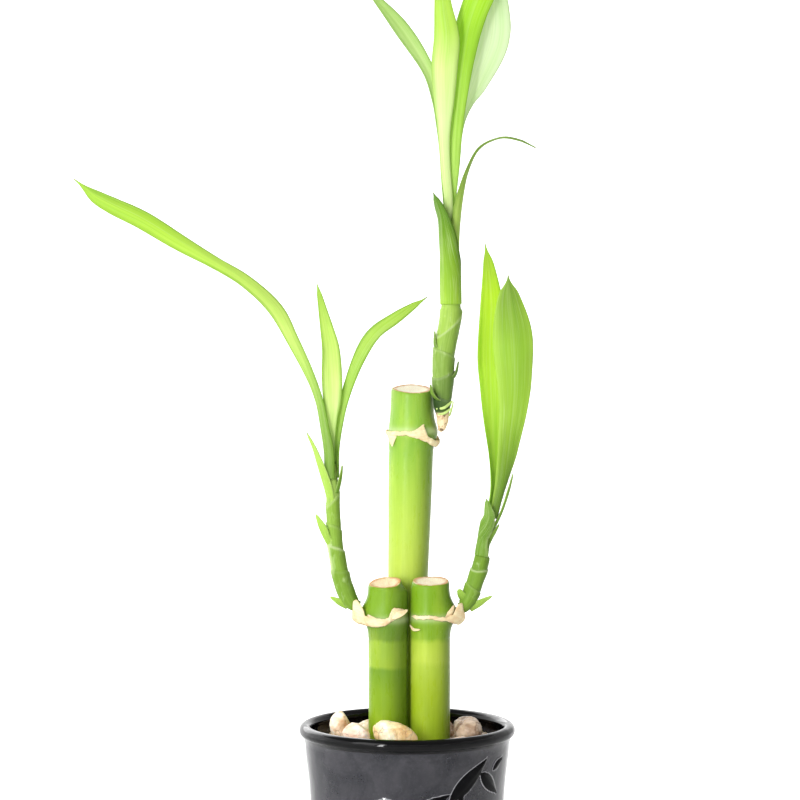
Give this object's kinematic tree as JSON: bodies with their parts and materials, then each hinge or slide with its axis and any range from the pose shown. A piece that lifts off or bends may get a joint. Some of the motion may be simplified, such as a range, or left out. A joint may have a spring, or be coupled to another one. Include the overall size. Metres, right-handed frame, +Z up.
{
  "type": "potted lucky bamboo",
  "caption": "Lucky bamboo: cut green canes with slender leafy side shoots, standing in pebbles in a small round black glazed pot with a rolled rim and raised sprig ornament.",
  "frame": {"origin": "middle of the flat foot of the pot, on the surface that the pot stands on", "axes": "+Z up along the pot's axis, +X to the right of the front view, +Y away from the viewer, with the two short canes in front and the tall one behind"},
  "size_m": [0.1684, 0.0798, 0.375],
  "materials": {
    "black_glaze": "gloss",
    "gravel": "matte",
    "pebble_cream": "satin",
    "pebble_tan": "satin",
    "cane_green": "satin",
    "papery_scar": "matte",
    "shoot_green": "satin",
    "leaf_green": "satin",
    "leaf_pale": "satin"
  },
  "bodies": {
    "root": {"pot": "black_glaze", "gravel_bed": "gravel", "pebble_cone": "pebble_cream", "pebble_front_pink": "pebble_cream", "pebble_front_cream": "pebble_cream", "pebble_front_low": "pebble_cream", "pebble_left_front": "pebble_cream", "pebble_left_back": "pebble_cream", "pebble_back_left": "pebble_cream", "pebble_back": "pebble_cream", "pebble_middle_left": "pebble_cream", "pebble_right_tan": "pebble_tan", "pebble_right_front": "pebble_tan", "pebble_back_right": "pebble_tan", "pebble_middle_right": "pebble_tan", "cane_left": "cane_green", "cane_right": "cane_green", "cane_tall": "cane_green", "scar_left": "papery_scar", "scar_right": "papery_scar", "scar_tall": "papery_scar", "stem_left": "shoot_green", "stem_right": "shoot_green", "stem_tall": "shoot_green", "leaf_right_sheath": "shoot_green", "leaf_left_long": "leaf_green", "leaf_left_middle": "leaf_green", "leaf_left_right": "leaf_green", "leaf_right_back": "leaf_green", "leaf_right_front": "leaf_green", "leaf_tall_sheath": "leaf_green", "leaf_tall_inner": "leaf_green", "leaf_tall_arched": "leaf_pale", "leaf_tall_left": "leaf_pale", "leaf_tall_front": "leaf_pale", "leaf_tall_behind": "leaf_pale"}
  },
  "joints": []
}
